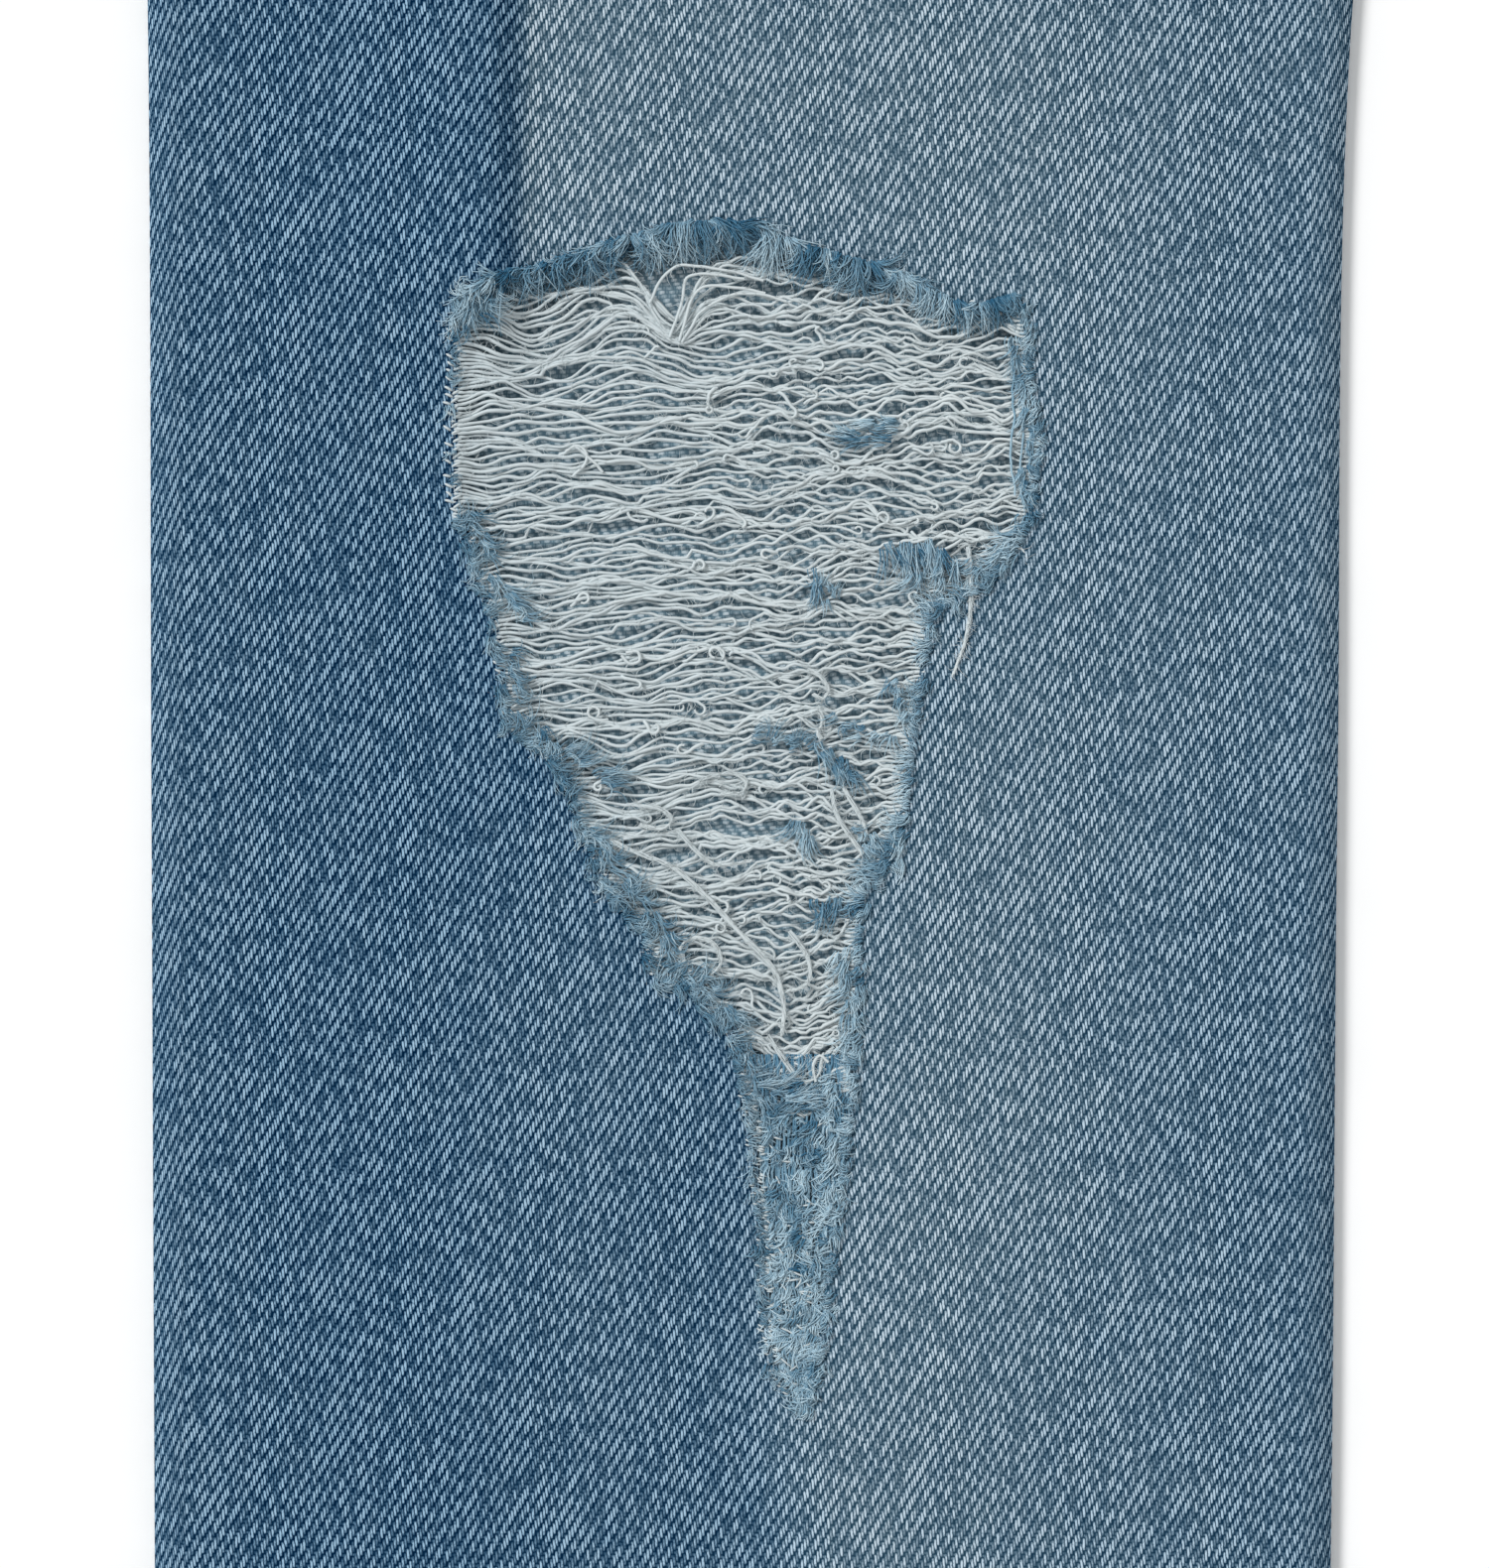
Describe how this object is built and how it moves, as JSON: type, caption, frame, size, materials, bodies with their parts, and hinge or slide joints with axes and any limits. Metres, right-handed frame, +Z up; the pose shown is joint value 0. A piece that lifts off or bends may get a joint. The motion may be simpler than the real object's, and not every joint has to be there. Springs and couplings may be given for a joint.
{
  "type": "ripped denim jeans laid flat",
  "caption": "Slim blue denim jeans laid flat face up, with a frayed knee rip whose white weft threads still cross the opening.",
  "frame": {"origin": "centre of the laid garment's box, on the surface it lies on", "axes": "+Z up out of the front of the garment, +Y from the hems to the waist, +X towards the wearer's left leg"},
  "size_m": [0.4936, 1.006, 0.0134],
  "materials": {
    "denim": "faded indigo twill denim, matt, worn",
    "white_weft": "undyed cotton weft threads, matt",
    "frayed_warp": "frayed indigo warp ends, fuzzy, matt",
    "copper": "worn copper-plated button and rivets",
    "zip_brass": "brass zip on woven tape"
  },
  "bodies": {
    "root": {"front_panel_right": "denim", "back_panel_right": "denim", "yoke_right": "denim", "pocket_facing_right": "denim", "back_pocket_right": "denim", "hem_right": "denim", "belt_loop_front_right": "denim", "belt_loop_back_right": "denim", "front_panel_left": "denim", "back_panel_left": "denim", "yoke_left": "denim", "pocket_facing_left": "denim", "back_pocket_left": "denim", "hem_left": "denim", "belt_loop_front_left": "denim", "belt_loop_back_left": "denim", "belt_loop_back_centre": "denim", "waistband": "denim", "coin_pocket": "denim", "zip": "zip_brass", "zip_slider": "zip_brass", "waist_button": "copper", "rivet_waist_right": "copper", "rivet_side_right": "copper", "rivet_waist_left": "copper", "rivet_side_left": "copper", "rivet_coin_inner": "copper", "rivet_coin_outer": "copper", "rip_threads": "white_weft", "rip_fringe": "frayed_warp"}
  },
  "joints": []
}
